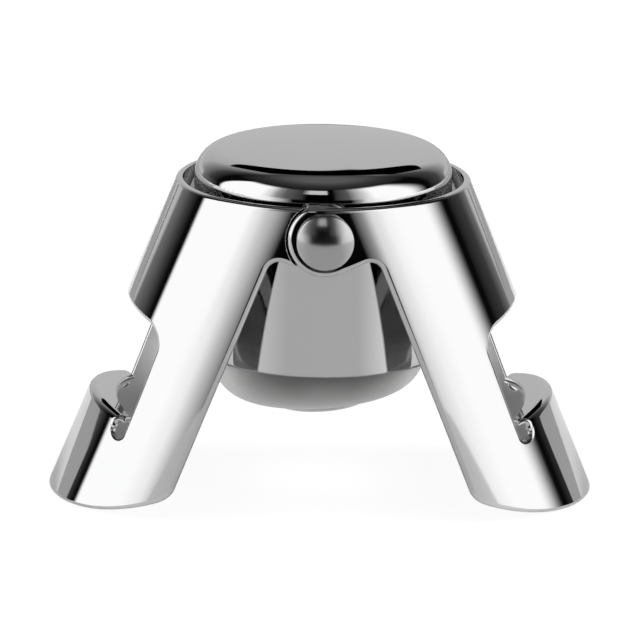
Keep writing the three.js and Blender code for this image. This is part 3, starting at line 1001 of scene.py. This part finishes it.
def by_angle(tree, angle, stops):
    """A strength that follows an angle from -180 to 180 degrees, between stops of angle and grey."""
    return tree.add("ShaderNodeValToRGB", {"stops": [
        ((place + HALF_TURN) / FULL_TURN, mirrored(level)) for place, level in stops]},
        {"Fac": angle * (1 / FULL_TURN) + 0.5})


def blended(tree, mask, low, high):
    """Low where the mask is zero, high where it is one."""
    return tree.add("ShaderNodeMix", {"data_type": "FLOAT"}, {"Factor": mask, 2: low, 3: high})


def parts(tree, vector):
    """The x, y and z of a vector."""
    return [tree.add("ShaderNodeSeparateXYZ", {}, {0: vector}, output=axis) for axis in "XYZ"]


def compass(tree, place):
    """Azimuth from the front, positive to the right, and elevation, both in degrees."""
    x, y, z = parts(tree, place)
    degrees = HALF_TURN / math.pi
    return (tree.combine("ARCTAN2", x, y * -1) * degrees,
            tree.combine("ARCSINE", z) * degrees)


def staged(mesh, name, material):
    """A part of the studio, which isn't part of the object."""
    data = bpy.data.meshes.new(name)
    mesh.to_mesh(data)
    mesh.free()
    thing = bpy.data.objects.new(name, data)
    bpy.context.scene.collection.objects.link(thing)
    data.materials.append(material)
    return thing


# %% [markdown]
# The table ends 172 mm in front of the middle, and beyond that edge the chrome mirrors the dark
# front of the studio. The camera sees the table as white with only the soft shadow. To mirrors it is
# a matte paper with painted light and shade in its colour: paler at the sides and behind, and darker
# in front. To the matte seal it is a bright bounce from below, which fades out towards the front.

# %% Table
TABLE_REACH = 3.0
TABLE_FRONT = 0.172
TABLE_WHITE = 0.92
SHADOW_SHARE = 0.12
BOUNCE = 1.35
BOUNCE_REST = 0.05
BOUNCE_FROM = -0.05
BOUNCE_TO = -0.01

table_material, tree = new_material("table")
place = tree.add("ShaderNodeTexCoord", output="Object")
ray = tree.add("ShaderNodeVectorMath", {"operation": "NORMALIZE"}, {0: place})
# Painted light and shade: the paper's grey follows the direction from the middle, paler at the sides and
# behind, darker in front.
painted_paper_light = by_angle(tree, compass(tree, ray)[0], [
    (-180, 235), (-120, 200), (-60, 195), (-30, 164), (30, 164), (55, 205), (120, 200), (180, 235)])
matte = tree.add("ShaderNodeBsdfDiffuse", {}, {"Color": painted_paper_light})
white = tree.add("ShaderNodeEmission", {}, {"Color": WHITE_LIGHT, "Strength": TABLE_WHITE})
shadow = tree.add("ShaderNodeBsdfDiffuse", {}, {"Color": grey(SHADOW_SHARE)})
shown = tree.add("ShaderNodeAddShader", {}, {0: white, 1: shadow})
depth = tree.add("ShaderNodeSeparateXYZ", {}, {0: place}, output="Y")
lit = eased(tree, depth, BOUNCE_FROM, BOUNCE_TO) * BOUNCE + BOUNCE_REST
bounce = tree.add("ShaderNodeEmission", {}, {"Color": WHITE_LIGHT, "Strength": lit})
unseen = tree.add("ShaderNodeMixShader", {}, {0: ray_kind(tree, "Is Diffuse Ray"), 1: matte, 2: bounce})
tree.add("ShaderNodeOutputMaterial", {}, {"Surface": tree.add("ShaderNodeMixShader", {}, {
    0: ray_kind(tree, "Is Camera Ray"), 1: unseen, 2: shown})})
table_mesh = bmesh.new()
table_mesh.faces.new([table_mesh.verts.new((x, y, 0)) for x, y in (
    (-TABLE_REACH, -TABLE_FRONT), (TABLE_REACH, -TABLE_FRONT),
    (TABLE_REACH, TABLE_REACH), (-TABLE_REACH, TABLE_REACH))])
table = staged(table_mesh, "table", table_material)
print("the table ends", round(TABLE_FRONT / MM), "mm in front of the middle")

# %% [markdown]
# Beside and behind the stopper the edge of the paper curls up by a few centimetres. A strip of
# cylinder stands for it, and only mirrors see it.

# %% The paper's curled edge
CURL_RADIUS = 0.3
CURL_HEIGHT = 0.028
CURL_START = math.radians(112)
CURL_GREY = 150
CURL_STEPS = 48

curl_material, tree = new_material("curl")
tree.add("ShaderNodeOutputMaterial", {}, {"Surface": tree.add("ShaderNodeEmission", {}, {
    "Color": WHITE_LIGHT, "Strength": mirrored(CURL_GREY)})})
curl_mesh = bmesh.new()
foot = curl_mesh.verts.new((CURL_RADIUS * math.sin(CURL_START), -CURL_RADIUS * math.cos(CURL_START), 0))
top = curl_mesh.verts.new(foot.co + Vector((0, 0, CURL_HEIGHT)))
edge = curl_mesh.edges.new((foot, top))
bmesh.ops.spin(curl_mesh, geom=[foot, top, edge], cent=(0, 0, 0), axis=(0, 0, 1),
               angle=2 * (math.pi - CURL_START), steps=CURL_STEPS)
curl = staged(curl_mesh, "paper_curl", curl_material)
curl.visible_camera = False
curl.visible_diffuse = False
curl.visible_shadow = False
print("table and paper:", table.name, curl.name)

# %% [markdown]
# Three square lamps light what is matte: the seal, the core and the table with its shadow. Mirrors
# don't see them, because the tent shows the softboxes with their soft, slanting edges.

# %% Lamps
LAMP_DISTANCE = 1.6


def softbox(name, azimuth, height, size, strength):
    """A square lamp that faces the object."""
    light = bpy.data.lights.new(name, "AREA")
    light.shape = "SQUARE"
    light.size = size
    light.energy = strength * math.pi * size ** 2
    lamp = bpy.data.objects.new(name, light)
    bpy.context.scene.collection.objects.link(lamp)
    a, h = math.radians(azimuth), math.radians(height)
    away = Vector((math.sin(a) * math.cos(h), -math.cos(a) * math.cos(h), math.sin(h)))
    lamp.location = pivot + away * LAMP_DISTANCE
    lamp.rotation_euler = away.to_track_quat("Z", "Y").to_euler()
    lamp.visible_camera = False
    lamp.visible_glossy = False
    return lamp


lamps = [
    softbox("left_softbox", azimuth=-84, height=22, size=1.1, strength=5.8),
    softbox("right_softbox", azimuth=80, height=22, size=1.1, strength=6.6),
    softbox("top_softbox", azimuth=0, height=80, size=1.2, strength=2.15),
]
print("lamps:", [lamp.name for lamp in lamps])

# %% [markdown]
# ### The tent
#
# The tent could be many cards, but each of them has soft, slanting edges, so it is one large ball
# whose strength follows the direction. Only mirrors see it. Its strength is put together from
# bands. Round the front run the softboxes with their long inner falloff into the dark, and round
# the back the pale paper. Each band has one row of stops for low directions and one for high ones.

# %% Tent: the front and the back
WHITE = 251
FRONT_RISE = (1, 8)
REAR_RISE = (4, 9)

tent_material, tree = new_material("tent")
place = tree.add("ShaderNodeMapping", {}, {
    "Vector": tree.add("ShaderNodeTexCoord", output="Object"), "Location": -pivot})
ray = tree.add("ShaderNodeVectorMath", {"operation": "NORMALIZE"}, {0: place})
azimuth, height = compass(tree, ray)
high_front = by_angle(tree, azimuth, [
    (-58, WHITE), (-50, 215), (-44, 145), (-36, 90), (-20, 50), (-16, 0),
    (8, 0), (12, 55), (22, 85), (36, 200), (46, WHITE)])
low_front = by_angle(tree, azimuth, [
    (-64, WHITE), (-50, 235), (-42, 190), (-36, 150), (-28, 5),
    (24, 5), (32, 140), (38, 215), (48, 240), (60, WHITE)])
front = blended(tree, eased(tree, height, *FRONT_RISE), low_front, high_front)
high_rear = by_angle(tree, azimuth, [
    (-180, 175), (-152, 165), (-140, 125), (-124, 60), (-110, 8),
    (107, 8), (113, 40), (127, 65), (140, 130), (152, 173), (180, 175)])
low_rear = by_angle(tree, azimuth, [
    (-180, 175), (-140, 175), (-136, 105), (-109, 8),
    (107, 8), (112, 35), (124, 55), (136, 105), (140, 175), (180, 175)])
rear = blended(tree, eased(tree, height, *REAR_RISE), low_rear, high_rear)
print("grey of the softboxes in the chrome:", WHITE)

# %% [markdown]
# The softboxes end in slanting outer edges: the higher, the nearer to the front. Above them begins
# the dim ceiling, three degrees lower on the left, and paler overhead. Each pair holds the angles, in
# degrees, between which one band gives way to the next. The last is squared, to reach both sides.

# %% Tent: the softboxes' edges and the ceiling
SLANT = 0.0125
LEFT_BOX_END = (-107, -102.5)
RIGHT_BOX_END = (104, 82)
CEILING_EDGE = (49, 41)
CEILING_LEAN = 3
CEILING_SIDE = (20, -20)
REAR_CEILING_EDGE = (66, 58)
REAR_START = (100 ** 2, 122 ** 2)

raised = tree.combine("MAXIMUM", height, 0.0)
slant = raised * raised * SLANT
left_box = eased(tree, azimuth - slant, *LEFT_BOX_END)
right_box = eased(tree, azimuth + slant, *RIGHT_BOX_END)
band = blended(tree, left_box * right_box, rear, front)
ceiling = by_angle(tree, height, [(40, 14), (50, 34), (62, 52), (70, 71), (78, 84), (90, 86)])
left_side = eased(tree, azimuth, *CEILING_SIDE)
under = eased(tree, height + left_side * CEILING_LEAN, *CEILING_EDGE)
band = blended(tree, under, ceiling, band)
behind = blended(tree, eased(tree, height, *REAR_CEILING_EDGE), ceiling, rear)
band = blended(tree, eased(tree, azimuth * azimuth, *REAR_START), band, behind)
print("the ceiling begins at", CEILING_EDGE, "degrees")

# %% [markdown]
# A dark flag hangs in the ceiling behind the stopper and gives the black streak on the crown. It is
# drawn on a level ceiling one unit above the pin: `across` and `beyond` are where a ray meets it.
# The flag widens from its near end, and narrows again towards its far one. One small light patch in
# front gives the gleam on the pin's head and on the shoulder.

# %% Tent: the dark flag and the light patch
FLAG_NEAR_EDGE = (0.40, 0.48)
FLAG_FAR_EDGE = (1.95, 1.85)
FLAG_WIDEST = 1.05
FLAG_FAR = 1.95
FLAG_HALF_WIDTH = 0.82
FLAG_TAPER = 1.6
FLAG_GROWTH = 0.62
FLAG_NEAR_WIDTH = 0.17
FLAG_MIDDLE = 0.1
FLAG_SOFT = 0.03
LOWEST_RISE = 0.01
PATCH_LEFT = (-22, -12)
PATCH_RIGHT = (4, 2)
PATCH_BOTTOM = (25, 28)
PATCH_TOP = (43, 40)
PATCH_GREY = 190

x, y, z = parts(tree, ray)
z = tree.combine("MAXIMUM", z, LOWEST_RISE)
across = tree.combine("ABSOLUTE", x / z - FLAG_MIDDLE)
beyond = y / z
left_over = tree.combine("MAXIMUM", (FLAG_FAR - beyond) * (1 / (FLAG_FAR - FLAG_WIDEST)), 0.0)
half_width = tree.combine(
    "MINIMUM", left_over ** FLAG_TAPER * FLAG_HALF_WIDTH, beyond * FLAG_GROWTH + FLAG_NEAR_WIDTH)
flag = (eased(tree, across - half_width, FLAG_SOFT, -FLAG_SOFT)
        * eased(tree, beyond, *FLAG_NEAR_EDGE) * eased(tree, beyond, *FLAG_FAR_EDGE))
band = blended(tree, flag, band, 0.0)
patch = (eased(tree, azimuth, *PATCH_LEFT) * eased(tree, azimuth, *PATCH_RIGHT)
         * eased(tree, height, *PATCH_BOTTOM) * eased(tree, height, *PATCH_TOP))
band = blended(tree, patch, band, mirrored(PATCH_GREY))
tree.add("ShaderNodeOutputMaterial", {}, {"Surface": tree.add("ShaderNodeEmission", {}, {
    "Color": WHITE_LIGHT, "Strength": band})})
print("the tent's tree has", len(tree.node_tree.nodes), "nodes")

# %% [markdown]
# The ball is large beside the stopper, so every piece sees nearly the same light in one direction.
# It is seen in mirrors only, and throws no shadow.

# %% Tent: the ball
TENT_RADIUS = 2.5

tent_mesh = bmesh.new()
bmesh.ops.create_icosphere(tent_mesh, subdivisions=5, radius=TENT_RADIUS, matrix=Matrix.Translation(pivot))
tent = staged(tent_mesh, "tent", tent_material)
tent.visible_camera = False
tent.visible_diffuse = False
tent.visible_transmission = False
tent.visible_shadow = False
bpy.context.scene.view_settings.view_transform = "Standard"
print("studio:", table.name, curl.name, tent.name)
